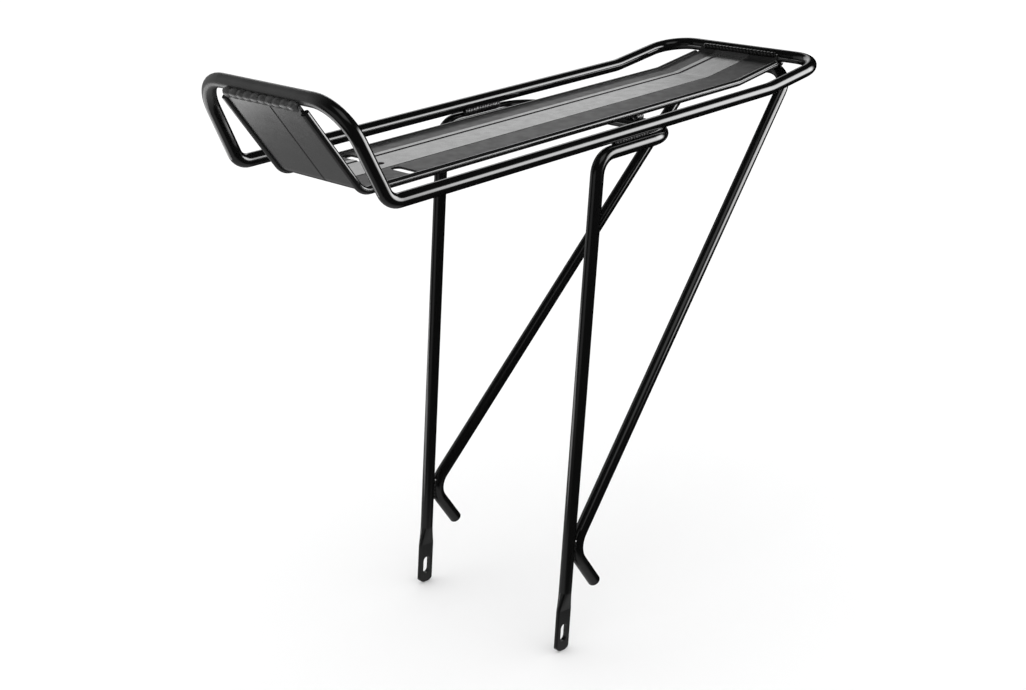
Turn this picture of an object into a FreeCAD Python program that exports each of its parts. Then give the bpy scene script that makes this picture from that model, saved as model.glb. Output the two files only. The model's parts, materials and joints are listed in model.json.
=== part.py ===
import FreeCAD, Part
import math
import os
import Sketcher
from FreeCAD import Placement, Rotation, Vector

# Rear luggage rack for a bicycle, welded from bent aluminium tube and one extruded deck.
# Frame: +X to the bicycle's left, +Y to the rear, +Z up, in millimetres.
# Origin: midway between the centres of the two foot slots, on the rack's plane of symmetry.

doc = FreeCAD.newDocument("rear_rack")

# Driving dimensions: word alias, value in millimetres or degrees, what it is.
SIZES = [
    ("tube_diameter", 9.5, "outside diameter of every tube"),
    ("tube_wall", 1.5, "wall thickness of every tube"),
    ("rail_half_spacing", 76.0, "side rail centre line to the plane of symmetry"),
    ("rail_height", 360.0, "side rail centre line above the foot slots"),
    ("rail_front", -135.6, "where the side rails would meet the front hoop"),
    ("hoop_top_half_spacing", 71.6, "front hoop upper corner to the plane of symmetry"),
    ("hoop_top_reach", -162.0, "front crossbar, fore and aft"),
    ("hoop_top_height", 423.2, "front crossbar centre line above the foot slots"),
    ("hoop_top_bend", 27.5, "bend radius of the hoop's upper corners"),
    ("hoop_foot_bend", 11.5, "bend radius between hoop and side rail"),
    ("rise_start", 238.5, "where the side rails start to rise"),
    ("rise_bend", 55.0, "bend radius at the start of the rise"),
    ("tail_reach", 309.3, "rear crossbar centre line, fore and aft"),
    ("tail_height", 368.5, "rear crossbar centre line above the foot slots"),
    ("tail_bend", 26.0, "bend radius of the rear corners"),
    ("foot_half_spacing", 75.4, "middle of each foot to the plane of symmetry"),
    ("foot_flat_width", 14.2, "width of the flattened tube"),
    ("foot_flat_thickness", 3.4, "thickness of the flattened tube"),
    ("foot_drop", 14.3, "foot's lower end below the slot centre"),
    ("foot_corner", 5.5, "corner radius of the foot's lower end"),
    ("foot_flat_top", 18.0, "upper end of the flat above the slot centre"),
    ("foot_round_bottom", 32.0, "where the tube is round again"),
    ("slot_width", 6.5, "width of each foot slot"),
    ("slot_length", 14.0, "end to end length of each foot slot"),
    ("leg_lean", 7.7, "lean of the legs to the rear, in degrees"),
    ("run_half_spacing", 77.5, "run under the rail to the plane of symmetry"),
    ("run_drop", 10.4, "run's centre line below the rail's centre line"),
    ("leg_bend", 14.5, "bend radius at the top of each leg"),
    ("leg_cross_reach", 131.4, "cross tube of the leg frame, fore and aft"),
    ("leg_cross_bend", 29.0, "bend radius between run and cross tube"),
    ("knee_half_spacing", 75.6, "strut knee to the plane of symmetry"),
    ("knee_reach", 13.3, "strut knee corner, fore and aft"),
    ("knee_height", 63.5, "strut knee corner above the foot slots"),
    ("knee_bend", 18.0, "bend radius of the knee"),
    ("peg_reach", 35.0, "lower end of the peg, fore and aft"),
    ("peg_height", 28.5, "lower end of the peg above the foot slots"),
    ("strut_top_half_spacing", 44.0, "strut's upper corner to the plane of symmetry"),
    ("strut_top_reach", 310.0, "cross tube of the strut frame, fore and aft"),
    ("strut_top_height", 358.0, "cross tube of the strut frame above the foot slots"),
    ("strut_top_bend", 22.0, "bend radius between strut and cross tube"),
    ("deck_height", 358.4, "middle of the deck's web above the foot slots"),
    ("web_half_width", 38.0, "web edge to the plane of symmetry"),
    ("web_half_thickness", 0.8, "half the thickness of the side bands"),
    ("lip_reach", 3.6, "width of the slope between the side bands and the beads"),
    ("lip_rise", 0.7, "height of that slope where it meets the beads"),
    ("strip_left", 10.8, "left edge of the thicker strip, from the plane of symmetry"),
    ("strip_right", 22.8, "right edge of the thicker strip, from the plane of symmetry"),
    ("strip_proud", 0.25, "height of the strip over the side bands"),
    ("groove_offset", 16.8, "middle of the groove in the strip, to the right of the plane of symmetry"),
    ("groove_half_width", 1.6, "half the width of the groove"),
    ("groove_depth", 0.5, "depth of the groove"),
    ("score_offset", 7.0, "score line under the web, to the left of the plane of symmetry"),
    ("score_half_width", 0.9, "half the width of the score line"),
    ("score_depth", 0.6, "depth of the score line"),
    ("bead_half_spacing", 39.8, "centre of each side bead to the plane of symmetry"),
    ("bead_radius", 2.7, "radius of the round beads along both edges"),
    ("deck_front", -126.6, "where the deck turns up into the front plate"),
    ("deck_front_bend", 11.0, "bend radius under the front plate"),
    ("plate_top_reach", -167.4, "upper edge of the front plate, fore and aft"),
    ("plate_top_height", 419.2, "upper edge of the front plate"),
    ("deck_rise_start", 248.0, "where the deck starts to rise"),
    ("deck_rise_bend", 30.0, "bend radius at the start of the deck's rise"),
    ("deck_curl_reach", 298.6, "corner where the web curls up at the rear"),
    ("deck_curl_height", 364.8, "height of that corner"),
    ("deck_curl_bend", 8.0, "bend radius of the curl"),
    ("deck_tail_reach", 302.9, "rear edge of the web, fore and aft"),
    ("deck_tail_height", 370.0, "height of the rear edge of the web"),
    ("bead_front_height", 415.0, "front end of the side beads"),
    ("bead_tail_reach", 295.5, "rear end of the side beads"),
    ("deck_slot_reach", -78.7, "cross slots and centre hole, fore and aft"),
    ("deck_slot_spacing", 49.4, "distance between the centres of the cross slots"),
    ("deck_slot_length", 22.5, "end to end length of each cross slot"),
    ("deck_slot_width", 8.0, "width of each cross slot"),
    ("deck_hole_diameter", 6.5, "centre hole of the deck"),
    ("deck_cut_depth", 10.0, "height of the cutters, twice their reach from the web's middle"),
    ("weld_radius", 2.9, "radius of the round section that most welds are cut from"),
    ("front_weld_radius", 3.7, "radius of the same section at the front crossbar"),
    ("front_weld_drop", 1.5, "middle of the front weld below the upper edge of the plate"),
    ("rail_weld_front", 68.0, "front end of the weld between rail and run"),
    ("rail_weld_rear", 100.0, "rear end of that weld"),
    ("rail_weld_inset", 2.2, "from the middle of the seam to the weld, towards the wheel"),
    ("bead_weld_half_length", 2.0, "half the length of the weld under each deck bead"),
    ("knee_weld_below", 7.0, "reach of the knee weld below the knee"),
    ("knee_weld_above", 6.0, "reach of the knee weld above the knee"),
    ("tail_weld_inner", 14.0, "inner end of each weld under the rear crossbar"),
    ("tail_weld_outer", 34.0, "outer end of each weld under the rear crossbar"),
    ("web_weld_inset", 4.0, "from the web's side edge to the end of its weld"),
    ("plug_depth", 9.0, "length of the peg plug inside the tube"),
    ("plug_dome", 2.4, "height of the peg plug outside the tube"),
]

sheet = doc.addObject("Spreadsheet::Sheet", "Sizes")
for row, (alias, value, meaning) in enumerate(SIZES, start=1):
    sheet.set("A%d" % row, alias)
    sheet.set("B%d" % row, str(value))
    sheet.setAlias("B%d" % row, alias)
    sheet.set("C%d" % row, meaning)
doc.recompute()


sideways = Vector(1, 0, 0)
rearward = Vector(0, 1, 0)
upward = Vector(0, 0, 1)


def size(alias):
    """Value of one cell of the sheet."""
    return float(sheet.get(alias))


def place(x_alias, y_alias, z_alias):
    """Point whose three coordinates are cells of the sheet."""
    return Vector(size(x_alias), size(y_alias), size(z_alias))


def mirrored(point):
    """The same point on the other side of the plane of symmetry."""
    return Vector(-point.x, point.y, point.z)


def bent_route(corners, closed=False):
    """Wire of straight runs joined by tangent arcs; corners are (point, bend radius)."""
    count = len(corners)
    edges = []
    trimmed = []
    for index, (corner, radius) in enumerate(corners):
        if radius == 0:
            trimmed.append((corner, corner))
            continue
        before = (corners[index - 1][0] - corner).normalize()
        after = (corners[(index + 1) % count][0] - corner).normalize()
        half_opening = before.getAngle(after) / 2
        reach = radius / math.tan(half_opening)
        start = corner + before * reach
        end = corner + after * reach
        to_centre = (before + after).normalize()
        middle = corner + to_centre * (radius / math.sin(half_opening) - radius)
        trimmed.append((start, end))
        edges.append((index, Part.Arc(start, middle, end).toShape()))
    last = count if closed else count - 1
    for index in range(last):
        run = Part.LineSegment(trimmed[index][1], trimmed[(index + 1) % count][0])
        edges.append((index + 0.5, run.toShape()))
    edges.sort(key=lambda item: item[0])
    return Part.Wire([edge for order, edge in edges])


def add_route(name, corners, closed=False):
    """Document object that holds the centre line of one bent tube."""
    route = doc.addObject("Part::Feature", name + "Route")
    route.Shape = bent_route(corners, closed)
    return route


def add_sweep(name, route, radius_expression):
    """Round bar along a route, its radius bound to the sheet."""
    first = route.Shape.Edges[0]
    section = doc.addObject("Part::Circle", name + "Section")
    section.setExpression("Radius", radius_expression)
    direction = first.tangentAt(first.FirstParameter)
    turn = Rotation(upward, direction)
    section.Placement = Placement(first.valueAt(first.FirstParameter), turn)
    sweep = doc.addObject("Part::Sweep", name)
    sweep.Sections = [section]
    sweep.Spine = (route, ["Edge%d" % (i + 1) for i in range(len(route.Shape.Edges))])
    sweep.Solid = True
    sweep.Frenet = False
    return sweep


OUTER_RADIUS = "Sizes.tube_diameter / 2"
INNER_RADIUS = "Sizes.tube_diameter / 2 - Sizes.tube_wall"


def add_cut(name, base, tool):
    """Boolean difference of two document objects."""
    cut = doc.addObject("Part::Cut", name)
    cut.Base = base
    cut.Tool = tool
    return cut


def add_fuse(name, pieces):
    """Boolean union of several document objects."""
    fuse = doc.addObject("Part::MultiFuse", name)
    fuse.Shapes = pieces
    return fuse


# ---- outer loop: front hoop, two side rails and rear crossbar in one closed tube
rail_x = size("rail_half_spacing")
rail_z = size("rail_height")
loop_left = [
    (place("hoop_top_half_spacing", "hoop_top_reach", "hoop_top_height"), size("hoop_top_bend")),
    (place("rail_half_spacing", "rail_front", "rail_height"), size("hoop_foot_bend")),
    (place("rail_half_spacing", "rise_start", "rail_height"), size("rise_bend")),
    (place("rail_half_spacing", "tail_reach", "tail_height"), size("tail_bend")),
]
loop_corners = loop_left + [(mirrored(point), bend) for point, bend in reversed(loop_left)]
loop_route = add_route("OuterLoop", loop_corners, closed=True)
loop_bar = add_sweep("OuterLoopBar", loop_route, OUTER_RADIUS)
loop_bore = add_sweep("OuterLoopBore", loop_route, INNER_RADIUS)
outer_loop = add_cut("OuterLoop", loop_bar, loop_bore)

# ---- leg frame: foot, leg, run under the rail, cross tube under the deck, and back down
lean = math.radians(size("leg_lean"))
run_z = rail_z - size("run_drop")
run_x = size("run_half_spacing")
foot_x = size("foot_half_spacing")
leg_top = Vector(run_x, run_z * math.tan(lean), run_z)


def on_leg(height):
    """Point on the left leg's centre line at a height above the foot slots."""
    share = height / run_z
    return Vector(foot_x + (run_x - foot_x) * share, leg_top.y * share, height)


round_bottom = on_leg(size("foot_round_bottom"))
leg_left = [
    (round_bottom, 0),
    (leg_top, size("leg_bend")),
    (Vector(run_x, size("leg_cross_reach"), run_z), size("leg_cross_bend")),
]
leg_corners = leg_left + [(mirrored(point), bend) for point, bend in reversed(leg_left)]
leg_route = add_route("LegFrame", leg_corners)
leg_bar = add_sweep("LegFrameBar", leg_route, OUTER_RADIUS)
leg_bore = add_sweep("LegFrameBore", leg_route, INNER_RADIUS)
leg_tube = add_cut("LegFrameTube", leg_bar, leg_bore)

# Axes of a foot: flat faces square to X, long axis along the leaning leg.
foot_up = Vector(0, math.sin(lean), math.cos(lean))
foot_back = Vector(0, math.cos(lean), -math.sin(lean))


def stadium(centre, along, across, half_length, half_width):
    """Closed wire with two straight sides and two round ends."""
    straight = half_length - half_width
    right_up = centre + along * straight + across * half_width
    right_down = centre + along * straight - across * half_width
    left_up = centre - along * straight + across * half_width
    left_down = centre - along * straight - across * half_width
    return Part.Wire([
        Part.LineSegment(left_up, right_up).toShape(),
        Part.Arc(right_up, centre + along * half_length, right_down).toShape(),
        Part.LineSegment(right_down, left_down).toShape(),
        Part.Arc(left_down, centre - along * half_length, left_up).toShape(),
    ])


def quartered_circle(centre, along, across, radius):
    """Circle as four arcs that match the four edges of a stadium."""
    quarter = radius * math.sqrt(0.5)
    right_up = centre + along * quarter + across * quarter
    right_down = centre + along * quarter - across * quarter
    left_up = centre - along * quarter + across * quarter
    left_down = centre - along * quarter - across * quarter
    return Part.Wire([
        Part.Arc(left_up, centre + across * radius, right_up).toShape(),
        Part.Arc(right_up, centre + along * radius, right_down).toShape(),
        Part.Arc(right_down, centre - across * radius, left_down).toShape(),
        Part.Arc(left_down, centre - along * radius, left_up).toShape(),
    ])


def foot_outline(centre, top, bottom, half_width, corner):
    """Closed wire of a foot seen from the side: square above, rounded corners below."""
    turn = corner * (1 - math.sqrt(0.5))

    def at(height, back):
        return centre + foot_up * height + foot_back * back

    return Part.Wire([
        Part.LineSegment(at(top, -half_width), at(top, half_width)).toShape(),
        Part.LineSegment(at(top, half_width), at(corner - bottom, half_width)).toShape(),
        Part.Arc(at(corner - bottom, half_width), at(turn - bottom, half_width - turn),
                 at(-bottom, half_width - corner)).toShape(),
        Part.LineSegment(at(-bottom, half_width - corner), at(-bottom, corner - half_width)).toShape(),
        Part.Arc(at(-bottom, corner - half_width), at(turn - bottom, turn - half_width),
                 at(corner - bottom, -half_width)).toShape(),
        Part.LineSegment(at(corner - bottom, -half_width), at(top, -half_width)).toShape(),
    ])


def foot_shape():
    """Left foot: round tube pressed flat, its end rounded and slotted."""
    radius = size("tube_diameter") / 2
    half_width = size("foot_flat_width") / 2
    half_thickness = size("foot_flat_thickness") / 2
    slot_centre = Vector(foot_x, 0, 0)
    flat_top = slot_centre + foot_up * size("foot_flat_top")
    leg_way = (leg_top - slot_centre).normalize()
    circle_back = leg_way.cross(sideways).normalize()
    circle_side = circle_back.cross(leg_way).normalize()
    flat_end = stadium(flat_top, foot_back, sideways, half_width, half_thickness)
    press = Part.makeLoft([
        quartered_circle(round_bottom, circle_back, circle_side, radius),
        flat_end,
    ], True)
    drop = size("foot_drop")
    flat = Part.Face(flat_end).extrude(foot_up * -(size("foot_flat_top") + drop))
    inner_side = slot_centre - sideways * radius
    through = sideways * (2 * radius)
    outline = foot_outline(inner_side, 2 * size("foot_flat_top"), drop, half_width, size("foot_corner"))
    rounded = flat.common(Part.Face(outline).extrude(through))
    slot_wire = stadium(inner_side, foot_up, foot_back, size("slot_length") / 2, size("slot_width") / 2)
    return press.fuse(rounded).cut(Part.Face(slot_wire).extrude(through)).removeSplitter()


left_foot = doc.addObject("Part::Feature", "LeftFoot")
left_foot.Shape = foot_shape()
right_foot = doc.addObject("Part::Mirroring", "RightFoot")
right_foot.Source = left_foot
right_foot.Normal = sideways
leg_frame = add_fuse("LegFrame", [leg_tube, left_foot, right_foot])

# ---- strut frame: peg, knee against the leg, diagonal strut, cross tube under the tail
peg_end = place("knee_half_spacing", "peg_reach", "peg_height")
knee = place("knee_half_spacing", "knee_reach", "knee_height")
strut_top = place("strut_top_half_spacing", "strut_top_reach", "strut_top_height")
strut_left = [
    (peg_end, 0),
    (knee, size("knee_bend")),
    (strut_top, size("strut_top_bend")),
]
strut_corners = strut_left + [(mirrored(point), bend) for point, bend in reversed(strut_left)]
strut_route = add_route("StrutFrame", strut_corners)
strut_bar = add_sweep("StrutFrameBar", strut_route, OUTER_RADIUS)
strut_bore = add_sweep("StrutFrameBore", strut_route, INNER_RADIUS)
strut_frame = add_cut("StrutFrame", strut_bar, strut_bore)


# ---- deck: one extrusion, bent up into the front plate and curled up at the rear
deck_z = size("deck_height")
plate_top = Vector(0, size("plate_top_reach"), size("plate_top_height"))
plate_foot = Vector(0, size("deck_front"), deck_z)
deck_rise = Vector(0, size("deck_rise_start"), deck_z)
deck_curl = Vector(0, size("deck_curl_reach"), size("deck_curl_height"))
deck_tail = Vector(0, size("deck_tail_reach"), size("deck_tail_height"))


def between(start, end, share):
    """Point on the line from start to end, at a share of its length."""
    return start + (end - start) * share


plate_share = (size("bead_front_height") - deck_z) / (plate_top.z - deck_z)
bead_top = between(plate_foot, plate_top, plate_share)
rise_share = (size("bead_tail_reach") - deck_rise.y) / (deck_curl.y - deck_rise.y)
bead_tail = between(deck_rise, deck_curl, rise_share)
web_route = add_route("DeckWeb", [
    (plate_top, 0),
    (plate_foot, size("deck_front_bend")),
    (deck_rise, size("deck_rise_bend")),
    (deck_curl, size("deck_curl_bend")),
    (deck_tail, 0),
])
bead_route = add_route("DeckBead", [
    (bead_top, 0),
    (plate_foot, size("deck_front_bend")),
    (deck_rise, size("deck_rise_bend")),
    (bead_tail, 0),
])
plate_way = (plate_foot - plate_top).normalize()
plate_turn = Rotation(sideways, sideways.cross(plate_way), plate_way * -1, "XYZ")


def add_profile(name, corners):
    """Closed polygon sketch whose corners are pairs of expressions on the sheet."""
    sketch = doc.addObject("Sketcher::SketchObject", name)
    points = [Vector(sketch.evalExpression(x), sketch.evalExpression(y), 0) for x, y in corners]
    for index, point in enumerate(points):
        sketch.addGeometry(Part.LineSegment(point, points[(index + 1) % len(points)]), False)
    for index in range(len(points)):
        sketch.addConstraint(Sketcher.Constraint("Coincident", index, 2, (index + 1) % len(points), 1))
    for index, (x, y) in enumerate(corners):
        across = sketch.addConstraint(Sketcher.Constraint("DistanceX", -1, 1, index, 1, points[index].x))
        sketch.setExpression("Constraints[%d]" % across, x)
        height = sketch.addConstraint(Sketcher.Constraint("DistanceY", -1, 1, index, 1, points[index].y))
        sketch.setExpression("Constraints[%d]" % height, y)
    return sketch


WEB = "Sizes.web_half_width"
FACE = "Sizes.web_half_thickness"
STRIP_FACE = FACE + " + Sizes.strip_proud"
GROOVE = "-Sizes.groove_offset"
web_profile = add_profile("DeckWebProfile", [
    ("-" + WEB, "-" + FACE),
    ("Sizes.score_offset - Sizes.score_half_width", "-" + FACE),
    ("Sizes.score_offset", "Sizes.score_depth - " + FACE),
    ("Sizes.score_offset + Sizes.score_half_width", "-" + FACE),
    (WEB, "-" + FACE),
    (WEB, FACE + " + Sizes.lip_rise"),
    (WEB + " - Sizes.lip_reach", FACE),
    ("Sizes.strip_left", FACE),
    ("Sizes.strip_left", STRIP_FACE),
    (GROOVE + " + Sizes.groove_half_width", STRIP_FACE),
    (GROOVE, STRIP_FACE + " - Sizes.groove_depth"),
    (GROOVE + " - Sizes.groove_half_width", STRIP_FACE),
    ("-Sizes.strip_right", STRIP_FACE),
    ("-Sizes.strip_right", FACE),
    ("Sizes.lip_reach - " + WEB, FACE),
    ("-" + WEB, FACE + " + Sizes.lip_rise"),
])
web_profile.Placement = Placement(plate_top, plate_turn)
deck_web = doc.addObject("Part::Sweep", "DeckWebBar")
deck_web.Sections = [web_profile]
deck_web.Spine = (web_route, ["Edge%d" % (i + 1) for i in range(len(web_route.Shape.Edges))])
deck_web.Solid = True
deck_web.Frenet = False


def add_bead(name, side):
    """Round bead along one edge of the deck."""
    section = doc.addObject("Part::Circle", name + "Section")
    section.setExpression("Radius", "Sizes.bead_radius")
    section.Placement = Placement(bead_top + sideways * (side * size("bead_half_spacing")), plate_turn)
    bead = doc.addObject("Part::Sweep", name)
    bead.Sections = [section]
    bead.Spine = (bead_route, ["Edge%d" % (i + 1) for i in range(len(bead_route.Shape.Edges))])
    bead.Solid = True
    bead.Frenet = False
    return bead


cut_low = deck_z - size("deck_cut_depth") / 2


def add_deck_drill(name, across, radius_expression):
    """Round cutter through the deck's web."""
    drill = doc.addObject("Part::Cylinder", name)
    drill.setExpression("Radius", radius_expression)
    drill.setExpression("Height", "Sizes.deck_cut_depth")
    drill.Placement = Placement(Vector(across, size("deck_slot_reach"), cut_low), Rotation())
    return drill


def add_deck_slot(name, side):
    """Cutters for one of the two round-ended slots across the deck."""
    middle = side * size("deck_slot_spacing") / 2
    straight = size("deck_slot_length") - size("deck_slot_width")
    block = doc.addObject("Part::Box", name + "Block")
    block.setExpression("Length", "Sizes.deck_slot_length - Sizes.deck_slot_width")
    block.setExpression("Width", "Sizes.deck_slot_width")
    block.setExpression("Height", "Sizes.deck_cut_depth")
    corner_y = size("deck_slot_reach") - size("deck_slot_width") / 2
    block.Placement = Placement(Vector(middle - straight / 2, corner_y, cut_low), Rotation())
    return [
        block,
        add_deck_drill(name + "RightEnd", middle - straight / 2, "Sizes.deck_slot_width / 2"),
        add_deck_drill(name + "LeftEnd", middle + straight / 2, "Sizes.deck_slot_width / 2"),
    ]


deck_hole = add_deck_drill("DeckHole", 0, "Sizes.deck_hole_diameter / 2")
deck_slots = add_deck_slot("LeftSlot", 1) + add_deck_slot("RightSlot", -1)
deck_blank = add_fuse("DeckBlank", [deck_web, add_bead("LeftBead", 1), add_bead("RightBead", -1)])
deck_cutters = add_fuse("DeckCutters", [deck_hole] + deck_slots)
deck = add_cut("Deck", deck_blank, deck_cutters)


# ---- weld beads: round-ended bars laid along each seam, cut back to the pieces they join
def add_weld(name, start, end, neighbours, radius_alias="weld_radius"):
    """Weld metal between neighbouring pieces, from start to end."""
    way = end - start
    bar = doc.addObject("Part::Cylinder", name + "Bar")
    bar.setExpression("Radius", "Sizes." + radius_alias)
    bar.Height = way.Length
    bar.Placement = Placement(start, Rotation(upward, way))
    pieces = [bar]
    for index, point in enumerate([start, end]):
        ball = doc.addObject("Part::Sphere", name + "End%d" % (index + 1))
        ball.setExpression("Radius", "Sizes." + radius_alias)
        ball.Placement = Placement(point, Rotation())
        pieces.append(ball)
    blank = add_fuse(name + "Blank", pieces)
    return add_cut(name, blank, add_fuse(name + "Gap", neighbours))


def add_weld_pair(name, start, end, neighbours):
    """The same weld on the left and on the right."""
    left = add_weld("Left" + name, start, end, neighbours)
    right = add_weld("Right" + name, mirrored(start), mirrored(end), neighbours)
    return left, right


rail_seam = Vector((rail_x + run_x) / 2 - size("rail_weld_inset"), 0, (rail_z + run_z) / 2)
rail_welds = add_weld_pair(
    "RailWeld",
    rail_seam + rearward * size("rail_weld_front"),
    rail_seam + rearward * size("rail_weld_rear"),
    [loop_bar, leg_bar])

bead_low = deck_z - size("bead_radius")
cross_high = run_z + size("tube_diameter") / 2
bead_seam = Vector(size("bead_half_spacing"), size("leg_cross_reach"), (bead_low + cross_high) / 2)
bead_weld_reach = rearward * size("bead_weld_half_length")
bead_welds = add_weld_pair(
    "BeadWeld", bead_seam - bead_weld_reach, bead_seam + bead_weld_reach, [deck_blank, leg_bar])

knee_to_peg = (peg_end - knee).normalize()
knee_to_top = (strut_top - knee).normalize()
knee_half_opening = knee_to_peg.getAngle(knee_to_top) / 2
knee_inset = size("knee_bend") / math.sin(knee_half_opening) - size("knee_bend")
knee_apex = knee + (knee_to_peg + knee_to_top).normalize() * knee_inset
knee_seam = between(on_leg(knee_apex.z), knee_apex, 0.5)
knee_welds = add_weld_pair(
    "KneeWeld",
    knee_seam - foot_up * size("knee_weld_below"),
    knee_seam + foot_up * size("knee_weld_above"),
    [leg_bar, strut_bar])

tail_middle = Vector(0, size("tail_reach"), size("tail_height"))
tail_seam = between(tail_middle, Vector(0, strut_top.y, strut_top.z), 0.5)
tail_welds = add_weld_pair(
    "TailWeld",
    tail_seam + sideways * size("tail_weld_inner"),
    tail_seam + sideways * size("tail_weld_outer"),
    [loop_bar, strut_bar])

web_weld_reach = sideways * (size("web_half_width") - size("web_weld_inset"))
front_seam = plate_top + plate_way * size("front_weld_drop")
front_weld = add_weld(
    "FrontWeld", front_seam - web_weld_reach, front_seam + web_weld_reach,
    [loop_bar, deck_blank], "front_weld_radius")
rear_weld = add_weld(
    "RearWeld", deck_tail - web_weld_reach, deck_tail + web_weld_reach, [loop_bar, deck_blank])


# ---- plugs that close the open ends of the pegs
def add_plug(name, end, outward):
    """Plastic plug: a shank inside the tube and a shallow dome that covers its end."""
    shank = doc.addObject("Part::Cylinder", name + "Shank")
    shank.setExpression("Radius", INNER_RADIUS)
    shank.setExpression("Height", "Sizes.plug_depth")
    shank.Placement = Placement(end - outward * size("plug_depth"), Rotation(upward, outward))
    half = "(Sizes.tube_diameter / 2)"
    dome_radius = "(%s ^ 2 + Sizes.plug_dome ^ 2) / (2 * Sizes.plug_dome)" % half
    dome = doc.addObject("Part::Sphere", name + "Dome")
    dome.setExpression("Radius", dome_radius)
    inset = dome.evalExpression(dome_radius) - size("plug_dome")
    dome.Angle1 = math.degrees(math.asin(inset / (inset + size("plug_dome"))))
    dome.Placement = Placement(end - outward * inset, Rotation(upward, outward))
    return add_fuse(name, [shank, dome])


left_plug = add_plug("LeftPlug", peg_end, knee_to_peg)
right_plug = add_plug("RightPlug", mirrored(peg_end), mirrored(knee_to_peg))

# ---- names of the finished sub-parts
SUBPARTS = {
    "outer_loop": outer_loop,
    "deck_plate": deck,
    "leg_frame": leg_frame,
    "strut_frame": strut_frame,
    "front_deck_weld": front_weld,
    "rear_deck_weld": rear_weld,
    "left_rail_weld": rail_welds[0],
    "right_rail_weld": rail_welds[1],
    "left_bead_weld": bead_welds[0],
    "right_bead_weld": bead_welds[1],
    "left_knee_weld": knee_welds[0],
    "right_knee_weld": knee_welds[1],
    "left_tail_weld": tail_welds[0],
    "right_tail_weld": tail_welds[1],
    "left_peg_plug": left_plug,
    "right_peg_plug": right_plug,
}
for label, item in SUBPARTS.items():
    item.Label = label
doc.recompute()

for item in doc.Objects:
    if "Invalid" in item.State or "Error" in item.State:
        raise RuntimeError("%s failed: %s" % (item.Name, item.State))
for label, item in SUBPARTS.items():
    if item.Shape.isNull() or not item.Shape.isValid() or not item.Shape.Solids:
        raise RuntimeError(label + " has no valid solid")
    print("%-16s %2d solid(s) %10.1f mm3" % (label, len(item.Shape.Solids), item.Shape.Volume))

os.makedirs("parts", exist_ok=True)
for label, item in SUBPARTS.items():
    item.Shape.exportStep(os.path.join("parts", label + ".step"))
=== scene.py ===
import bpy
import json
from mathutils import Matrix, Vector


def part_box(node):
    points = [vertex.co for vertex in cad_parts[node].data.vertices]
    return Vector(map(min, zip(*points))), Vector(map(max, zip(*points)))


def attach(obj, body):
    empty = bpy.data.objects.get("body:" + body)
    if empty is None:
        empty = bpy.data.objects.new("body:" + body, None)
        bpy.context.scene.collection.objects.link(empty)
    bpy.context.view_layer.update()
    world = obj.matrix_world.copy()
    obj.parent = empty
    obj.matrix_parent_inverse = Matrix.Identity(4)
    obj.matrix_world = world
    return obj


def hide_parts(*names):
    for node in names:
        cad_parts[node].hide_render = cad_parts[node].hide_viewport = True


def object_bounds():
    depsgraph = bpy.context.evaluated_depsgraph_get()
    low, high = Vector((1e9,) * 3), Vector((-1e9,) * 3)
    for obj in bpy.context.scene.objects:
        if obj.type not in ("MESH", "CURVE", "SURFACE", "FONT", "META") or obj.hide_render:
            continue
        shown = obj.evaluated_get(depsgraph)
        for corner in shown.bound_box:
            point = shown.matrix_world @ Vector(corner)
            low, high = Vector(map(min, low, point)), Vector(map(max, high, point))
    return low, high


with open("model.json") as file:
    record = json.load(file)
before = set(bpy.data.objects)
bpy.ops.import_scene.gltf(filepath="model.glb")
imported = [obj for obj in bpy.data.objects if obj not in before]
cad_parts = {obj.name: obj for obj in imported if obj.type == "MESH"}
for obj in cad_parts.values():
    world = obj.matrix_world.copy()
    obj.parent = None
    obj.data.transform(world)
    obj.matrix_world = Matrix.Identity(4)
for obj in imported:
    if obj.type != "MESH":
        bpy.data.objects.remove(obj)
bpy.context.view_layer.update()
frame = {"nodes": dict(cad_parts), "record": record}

import json
import math

import bmesh
import bpy
from mathutils import Matrix, Quaternion, Vector, noise

# Rear bicycle rack: black coated aluminium tube and extruded deck, with rippled weld beads.
# The row's frame: +X to the bicycle's left, +Y to the rear, +Z up, in metres.

NODES = frame["nodes"]
MM = 0.001

# where the deck's finish changes on its way across: the old one ends at the first value, and
# the new one is complete at the second
STRIP_LEFT = (11.1 * MM, 10.6 * MM)
STRIP_RIGHT = (-23.1 * MM, -22.5 * MM)
DECK_EDGE = (38.3 * MM, 38.8 * MM)

# ---- camera: to the left and in front of the rack, looking down on it
AZIMUTH = math.radians(46.008)
ELEVATION = math.radians(21.721)
ROLL = math.radians(-2.4)
CAMERA_AT = Vector((0.7697, -0.7081, 0.6233))
SENSOR = 36.0
LENS = 54.94


def add_camera():
    """Camera at the photograph's viewing angle."""
    forward = Vector((-math.sin(AZIMUTH) * math.cos(ELEVATION),
                      math.cos(AZIMUTH) * math.cos(ELEVATION),
                      -math.sin(ELEVATION)))
    right = Vector((math.cos(AZIMUTH), math.sin(AZIMUTH), 0))
    up = right.cross(forward)
    rolled_right = right * math.cos(ROLL) + up * math.sin(ROLL)
    rolled_up = up * math.cos(ROLL) - right * math.sin(ROLL)
    data = bpy.data.cameras.new("camera")
    data.sensor_fit = "HORIZONTAL"
    data.sensor_width = SENSOR
    data.lens = LENS
    data.clip_start = 0.05
    data.clip_end = 50
    camera = bpy.data.objects.new("camera", data)
    bpy.context.scene.collection.objects.link(camera)
    turn = Matrix((rolled_right, rolled_up, -forward)).transposed()
    camera.matrix_world = Matrix.Translation(CAMERA_AT) @ turn.to_4x4()
    bpy.context.scene.camera = camera


# ---- materials
def new_material(name):
    """Node material with its Principled shader, and the tree to add nodes to."""
    material = bpy.data.materials.new(name)
    material.use_nodes = True
    return material, material.node_tree, material.node_tree.nodes["Principled BSDF"]


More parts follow.
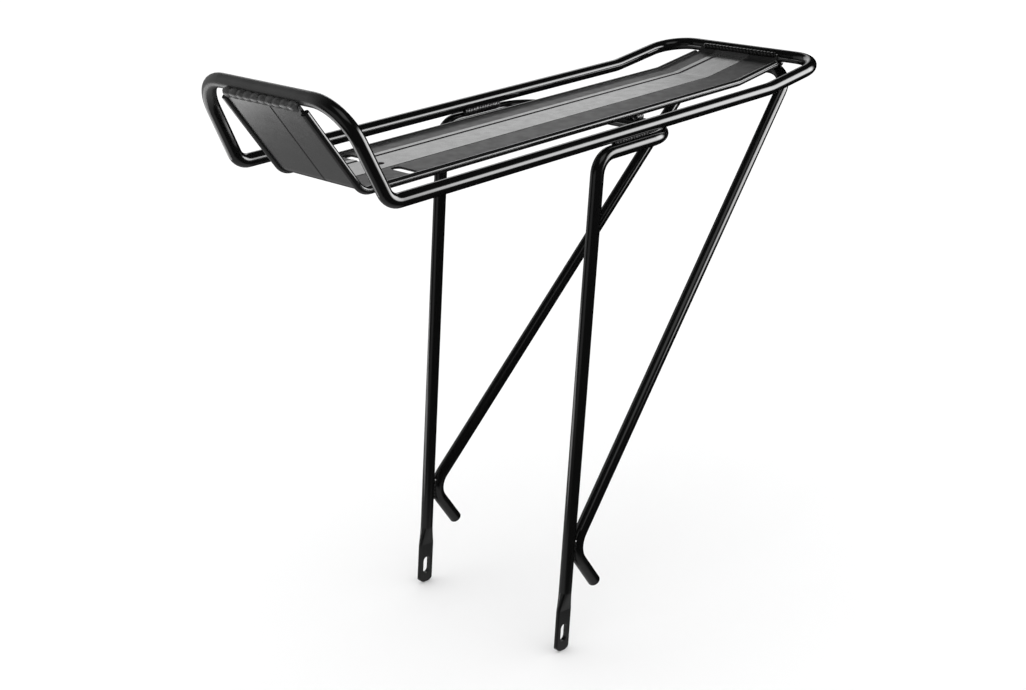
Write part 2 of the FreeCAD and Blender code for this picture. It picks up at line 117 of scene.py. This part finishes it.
def add_node(tree, kind, inputs=None, **settings):
    """Shader node with its settings and its unlinked inputs filled in."""
    node = tree.nodes.new(kind)
    for name, value in settings.items():
        setattr(node, name, value)
    for name, value in (inputs or {}).items():
        node.inputs[name].default_value = value
    return node


def object_noise(tree, scale, detail=2.0, stretch=(1, 1, 1)):
    """Noise in the object's own coordinates, in features per metre."""
    place = add_node(tree, "ShaderNodeTexCoord")
    turn = add_node(tree, "ShaderNodeMapping", {"Scale": stretch})
    tree.links.new(place.outputs["Object"], turn.inputs["Vector"])
    clouds = add_node(tree, "ShaderNodeTexNoise", {"Scale": scale, "Detail": detail})
    tree.links.new(turn.outputs["Vector"], clouds.inputs["Vector"])
    return clouds.outputs["Fac"]


def remap(tree, value, low, high, start=0.35, end=0.65):
    """Value from a texture, stretched to run from low to high."""
    node = add_node(tree, "ShaderNodeMapRange",
                    {"From Min": start, "From Max": end, "To Min": low, "To Max": high})
    tree.links.new(value, node.inputs["Value"])
    return node.outputs["Result"]


def bump(tree, shader, height, distance, strength=1.0):
    """Surface relief of the given height, in metres."""
    node = add_node(tree, "ShaderNodeBump", {"Strength": strength, "Distance": distance})
    tree.links.new(height, node.inputs["Height"])
    tree.links.new(node.outputs["Normal"], shader.inputs["Normal"])


def axis_place(tree, axis):
    """One of the object's own coordinates; on the rack's pieces, its frame in metres."""
    place = add_node(tree, "ShaderNodeTexCoord")
    split = add_node(tree, "ShaderNodeSeparateXYZ")
    tree.links.new(place.outputs["Object"], split.inputs["Vector"])
    return split.outputs[axis]


def combine(tree, operation, *values):
    """Result of one math node on linked values or plain numbers."""
    node = add_node(tree, "ShaderNodeMath", operation=operation)
    for socket, value in zip(node.inputs, values):
        if isinstance(value, (int, float)):
            socket.default_value = value
        else:
            tree.links.new(value, socket)
    return node.outputs["Value"]


def soft_step(tree, value, start, end):
    """0 up to start and 1 from end on, smooth between; start may lie above end."""
    node = add_node(tree, "ShaderNodeMapRange", {"From Min": start, "From Max": end},
                    interpolation_type="SMOOTHSTEP")
    tree.links.new(value, node.inputs["Value"])
    return node.outputs["Result"]


def blend(tree, low, high, share):
    """Number between low and high; each may be a link or a plain number."""
    node = add_node(tree, "ShaderNodeMix", data_type="FLOAT")
    for socket, value in zip((node.inputs[2], node.inputs[3], node.inputs[0]), (low, high, share)):
        if isinstance(value, (int, float)):
            socket.default_value = value
        else:
            tree.links.new(value, socket)
    return node.outputs[0]


def grey(tree, shader, value):
    """Links a neutral base colour of the given brightness."""
    node = add_node(tree, "ShaderNodeCombineColor")
    for channel in ("Red", "Green", "Blue"):
        tree.links.new(value, node.inputs[channel])
    tree.links.new(node.outputs["Color"], shader.inputs["Base Color"])


def tube_paint():
    """Gloss black powder coat with faint orange peel, dull where the front crossbar was welded."""
    material, tree, shader = new_material("tube_paint")
    low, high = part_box("front_deck_weld")
    above = soft_step(tree, axis_place(tree, "Z"), low.z - 14 * MM, low.z + 1 * MM)
    beside = soft_step(tree, axis_place(tree, "X"), high.x + 26 * MM, high.x + 7 * MM)
    ahead = soft_step(tree, axis_place(tree, "Y"), high.y + 30 * MM, high.y + 10 * MM)
    dull = combine(tree, "MULTIPLY", combine(tree, "MULTIPLY", above, beside), ahead)
    cloudy = remap(tree, object_noise(tree, 90, 4), 0.75, 1.0)
    dull = combine(tree, "MULTIPLY", dull, cloudy)
    grey(tree, shader, blend(tree, 0.0035, 0.036, dull))
    gloss = remap(tree, object_noise(tree, 60, 4), 0.08, 0.13)
    tree.links.new(blend(tree, gloss, 0.42, dull), shader.inputs["Roughness"])
    bump(tree, shader, object_noise(tree, 420, 1), 0.00001)
    return material


def deck_paint():
    """Satin black coat on the extrusion: smooth strip, coarser side bands, glossy beads; the top's
    strip and side bands also carry a painted sheen, a paler base colour.
    """
    material, tree, shader = new_material("deck_paint")
    across = axis_place(tree, "X")
    facing = add_node(tree, "ShaderNodeNewGeometry")
    split = add_node(tree, "ShaderNodeSeparateXYZ")
    tree.links.new(facing.outputs["Normal"], split.inputs["Vector"])
    # upward-facing faces: they carry the strip and side bands, and with them the painted sheen in
    # the base colour below
    top = soft_step(tree, split.outputs["Z"], 0.1, 0.4)
    left_edge = soft_step(tree, across, *STRIP_LEFT)
    right_edge = soft_step(tree, across, *STRIP_RIGHT)
    strip = combine(tree, "MULTIPLY", combine(tree, "MULTIPLY", left_edge, right_edge), top)
    edge = soft_step(tree, combine(tree, "ABSOLUTE", across), *DECK_EDGE)
    band = combine(tree, "MULTIPLY", top, combine(tree, "SUBTRACT", 1, edge))
    spots = remap(tree, object_noise(tree, 160, 5), -0.03, 0.03)
    rough = blend(tree, blend(tree, blend(tree, 0.22, 0.46, band), 0.17, strip), 0.12, edge)
    tree.links.new(combine(tree, "ADD", rough, spots), shader.inputs["Roughness"])
    # painted sheen: the top's strip (0.026) and side bands (0.012) are painted paler than the beads
    # and underside (0.008), standing in for light they reflect
    grey(tree, shader, blend(tree, blend(tree, 0.008, 0.012, band), 0.026, strip))
    bump(tree, shader, object_noise(tree, 900, 1, (1, 0.05, 0.05)), 0.00001)
    return material


def weld_paint():
    """The same black coat over weld metal."""
    material, tree, shader = new_material("weld_paint")
    low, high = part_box("front_deck_weld")
    front = soft_step(tree, axis_place(tree, "Y"), high.y + 20 * MM, high.y + 5 * MM)
    spots = remap(tree, object_noise(tree, 500, 4), 0.5, 1.0)
    grey(tree, shader, combine(tree, "MULTIPLY", blend(tree, 0.006, 0.045, front), spots))
    gloss = remap(tree, object_noise(tree, 300, 4), 0.1, 0.24)
    tree.links.new(blend(tree, gloss, 0.36, front), shader.inputs["Roughness"])
    bump(tree, shader, object_noise(tree, 1500, 3), 0.00002)
    return material


def plug_plastic():
    """Black moulded plastic with a fine spark-eroded grain."""
    material, tree, shader = new_material("plug_plastic")
    grain = object_noise(tree, 2500, 3)
    grey(tree, shader, remap(tree, grain, 0.012, 0.018))
    tree.links.new(remap(tree, object_noise(tree, 500, 4), 0.38, 0.52), shader.inputs["Roughness"])
    bump(tree, shader, grain, 0.00002)
    return material


MATERIALS = {"tube_paint": tube_paint(), "deck_paint": deck_paint(),
             "weld_paint": weld_paint(), "plug_plastic": plug_plastic()}


def coat_nodes():
    """Gives every CAD node the material of its slot."""
    for part in frame["record"]["subparts"]:
        node = NODES[part["node"]]
        for index in range(len(node.data.materials)):
            node.data.materials[index] = MATERIALS[part["material_slot"]]


# ---- weld beads: rippled metal laid along each seam
SIDEWAYS = Vector((1, 0, 0))
REARWARD = Vector((0, 1, 0))
UPWARD = Vector((0, 0, 1))
BEAD_STEP = 0.4 * MM
BEAD_SIDES = 28
LEG_LEAN = math.radians(7.7)
PLATE_LEAN = Vector((0, -0.83, -0.557))    # out of the front plate, ahead and down

# shares of a bead's ripple: how far its scales drift, its lumps and its grain
SCALE_DRIFT = 0.25
LUMP_SHARE = 0.35
GRAIN_SHARE = 0.08


def close_shell(mesh_edit, rings, first_tip, last_tip):
    """Skins a row of rings of vertices and closes both ends on their tips."""
    count = len(rings[0])
    for before, after in zip(rings, rings[1:]):
        for index in range(count):
            follow = (index + 1) % count
            mesh_edit.faces.new((before[index], before[follow], after[follow], after[index]))
    for index in range(count):
        follow = (index + 1) % count
        mesh_edit.faces.new((first_tip, rings[0][follow], rings[0][index]))
        mesh_edit.faces.new((last_tip, rings[-1][index], rings[-1][follow]))


def finish_piece(name, node, slot, mesh_edit):
    """Turns the edited mesh into a smooth piece that stands for a CAD node."""
    bmesh.ops.recalc_face_normals(mesh_edit, faces=mesh_edit.faces)
    mesh = bpy.data.meshes.new(name)
    mesh_edit.to_mesh(mesh)
    mesh_edit.free()
    mesh.polygons.foreach_set("use_smooth", [True] * len(mesh.polygons))
    mesh.materials.append(MATERIALS[slot])
    piece = bpy.data.objects.new(name, mesh)
    bpy.context.scene.collection.objects.link(piece)
    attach(piece, "root")
    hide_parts(node)


def ripple(along, angle, pitch, depth, bow, seed):
    """Share of the bead's full size at a place on it: scales with sharp valleys, and lumps.

    bow is how far, in scales, each valley lags behind at the bead's sides.
    """
    lag = bow * (1 - abs(math.cos(angle)))
    wander = SCALE_DRIFT * noise.noise(Vector((along / (2.3 * pitch), 0, seed)))
    scale = abs(math.sin(math.pi * (along / pitch - lag + wander))) ** 0.6
    around = Vector((math.cos(angle), math.sin(angle), 0))
    lumps = noise.noise(Vector((along / (1.4 * pitch), seed, 0)) + around)
    grain = noise.noise(Vector((along / (0.3 * pitch), 0, seed)) + around * 2.5)
    return 1 - depth * (1 - scale - LUMP_SHARE * lumps - GRAIN_SHARE * grain)


def add_bead(node, along, outward, half_size, pitch, depth, shift=(0, 0, 0), bow=0.9):
    """Rippled bead in place of a CAD weld, with all its lengths in millimetres.

    half_size is its reach across the seam and out of it, pitch the spacing of its scales,
    depth the share of its size that the valleys take, and shift moves it from its node's middle.
    """
    low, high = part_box(node)
    middle = (low + high) / 2 + Vector(shift) * MM
    outward = (outward - along * outward.dot(along)).normalized()
    across = along.cross(outward)
    wide, proud = (size * MM for size in half_size)
    axis = max(range(3), key=lambda index: abs(along[index]))
    half_length = (high[axis] - low[axis]) / 2 / abs(along[axis])
    straight = half_length - wide
    seed = sum(ord(letter) for letter in node) * 0.37
    mesh_edit = bmesh.new()
    rings = []
    steps = round(2 * half_length / BEAD_STEP)
    for step in range(1, steps):
        reach = half_length * (2 * step / steps - 1)
        over = max(0.0, abs(reach) - straight) / wide
        cap = math.sqrt(1 - over * over)
        ring = []
        for side in range(BEAD_SIDES):
            angle = 2 * math.pi * side / BEAD_SIDES
            size = cap * ripple(reach, angle, pitch * MM, depth, bow, seed)
            rise = outward * (proud * size * math.cos(angle))
            sway = across * (wide * size * math.sin(angle))
            ring.append(mesh_edit.verts.new(middle + along * reach + (rise + sway)))
        rings.append(ring)
    tips = [mesh_edit.verts.new(middle + along * end) for end in (-half_length, half_length)]
    close_shell(mesh_edit, rings, *tips)
    finish_piece(node + "_ripples", node, "weld_paint", mesh_edit)


def add_beads():
    """Every weld of the rack."""
    add_bead("front_deck_weld", SIDEWAYS, PLATE_LEAN, (3.7, 2.9), 7.4, 0.26, (0, -0.4, 0.6), 0.15)
    add_bead("rear_deck_weld", SIDEWAYS, UPWARD, (2.8, 2.4), 3.4, 0.12, (0, -0.35, -0.3))
    leg_way = Vector((0, math.sin(LEG_LEAN), math.cos(LEG_LEAN)))
    for side, inward in (("left", -1), ("right", 1)):
        add_bead(side + "_rail_weld", REARWARD, SIDEWAYS, (3.2, 2.3), 2.8, 0.2,
                 (0.8 * inward, 0, 0))
        add_bead(side + "_bead_weld", REARWARD, SIDEWAYS, (2.8, 2.8), 2.4, 0.14)
        add_bead(side + "_knee_weld", leg_way, SIDEWAYS, (2.8, 2.8), 2.8, 0.16)
        add_bead(side + "_tail_weld", SIDEWAYS, REARWARD, (2.8, 2.8), 2.6, 0.14)


# ---- peg plugs: turned round the peg's own axis
# (radius, height over the tube's end) in millimetres, from the dimple down to the tip of the shank
PLUG_SIDES = 48
PLUG_DIMPLE = 2.1
PLUG_SHANK_END = -8.9
PLUG_PROFILE = [(0.45, 2.12), (0.62, 2.2), (0.7, 2.36), (0.95, 2.38), (1.9, 2.2), (2.9, 1.82),
                (3.7, 1.38), (4.25, 1.0), (4.58, 0.72), (4.72, 0.42), (4.72, 0.16), (4.6, 0.04),
                (3.22, 0.02), (3.22, -2.0), (3.1, -2.2), (3.22, -2.4), (3.22, -7.6),
                (2.6, PLUG_SHANK_END)]


def add_plug(side):
    """Push-in plug: domed head with a moulding dimple, rounded rim and ribbed shank."""
    peg = next(mount for mount in frame["record"]["mounts"] if mount["name"] == side + "_peg")
    outward = Vector(peg["axis"]).normalized()
    end = Vector(peg["pos_m"]) + outward * (peg["dims"]["length_mm"] / 2 * MM)
    across = outward.cross(SIDEWAYS)
    mesh_edit = bmesh.new()
    rings = []
    for radius, height in PLUG_PROFILE:
        ring = []
        for index in range(PLUG_SIDES):
            angle = 2 * math.pi * index / PLUG_SIDES
            spoke = SIDEWAYS * math.cos(angle) + across * math.sin(angle)
            ring.append(mesh_edit.verts.new(end + outward * (height * MM) + spoke * (radius * MM)))
        rings.append(ring)
    tips = [mesh_edit.verts.new(end + outward * (rise * MM))
            for rise in (PLUG_DIMPLE, PLUG_SHANK_END)]
    close_shell(mesh_edit, rings, *tips)
    finish_piece(side + "_plug_head", side + "_peg_plug", "plug_plastic", mesh_edit)


# ---- studio: a plain pale floor and soft lights
def add_floor():
    """Large pale floor under the feet."""
    low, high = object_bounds()
    bpy.ops.mesh.primitive_plane_add(size=30, location=(0, 0, low.z - 0.0005))
    floor = bpy.context.object
    floor.name = "floor"
    material, tree, shader = new_material("floor_paper")
    shader.inputs["Base Color"].default_value = (0.9, 0.9, 0.9, 1)
    shader.inputs["Roughness"].default_value = 1.0
    shader.inputs["Specular IOR Level"].default_value = 0.0
    floor.data.materials.append(material)
    floor.visible_glossy = False


def add_card(name, at, aim, size, radiance, fade=0.3, spin=0.0):
    """Glowing panel that shows only in reflections; fade is the share of it that dims, each side."""
    bpy.ops.mesh.primitive_plane_add(size=1, location=at)
    card = bpy.context.object
    card.name = name
    card.scale = (size[0], size[1], 1)
    facing = (Vector(aim) - Vector(at)).to_track_quat("Z", "Y")
    card.rotation_euler = (facing @ Quaternion((0, 0, 1), spin)).to_euler()
    material, tree, shader = new_material(name + "_glow")
    tree.nodes.remove(shader)
    glow = add_node(tree, "ShaderNodeEmission", {"Color": (1, 1, 1, 1)})
    shares = [soft_step(tree, combine(tree, "ABSOLUTE", axis_place(tree, axis)), 0.5, 0.5 - fade)
              for axis in ("X", "Y")]
    strength = combine(tree, "MULTIPLY", combine(tree, "MULTIPLY", *shares), radiance)
    tree.links.new(strength, glow.inputs["Strength"])
    tree.links.new(glow.outputs["Emission"], tree.nodes["Material Output"].inputs["Surface"])
    card.data.materials.append(material)
    card.visible_camera = False
    card.visible_diffuse = False
    card.visible_shadow = False


def add_lights():
    """Pale room, and the glowing panels that the gloss coat reflects."""
    world = bpy.data.worlds.new("room")
    world.use_nodes = True
    world.node_tree.nodes["Background"].inputs["Color"].default_value = (1, 1, 1, 1)
    world.node_tree.nodes["Background"].inputs["Strength"].default_value = 1.2
    world.cycles_visibility.glossy = False
    bpy.context.scene.world = world
    rack = (0, 0.08, 0.36)
    add_card("rear_box", (0.62, 0.72, 0.5), (0.05, 0.1, 0.42), (1.05, 0.74), 11, 0.3)
    add_card("left_wall", (-1.3, -0.3, 0.35), (0, -0.1, 0.36), (2.4, 2.4), 0.5, 0.3)
    add_card("deck_card", (-1.056, 0.913, 0.825), rack, (1.3, 0.7), 1.6, 0.27)
    add_card("floor_near", (-0.25, -0.25, -0.1), (-0.25, -0.25, 1), (1.3, 1.0), 0.42, 0.2)
    add_card("plate_card", (-0.73, -0.42, -0.05), (-0.73, -0.42, 1), (0.95, 0.56), 2.6, 0.05,
             math.radians(-27))
    add_card("front_wall", (0.0, -1.6, 0.3), rack, (1.6, 1.4), 0.35, 0.3)
    add_card("ceiling", (0.9, -0.3, 1.6), rack, (1.4, 1.4), 1.0, 0.3)


add_camera()
coat_nodes()
add_beads()
for peg_side in ("left", "right"):
    add_plug(peg_side)
add_floor()
add_lights()
bpy.context.scene.view_settings.view_transform = "Standard"
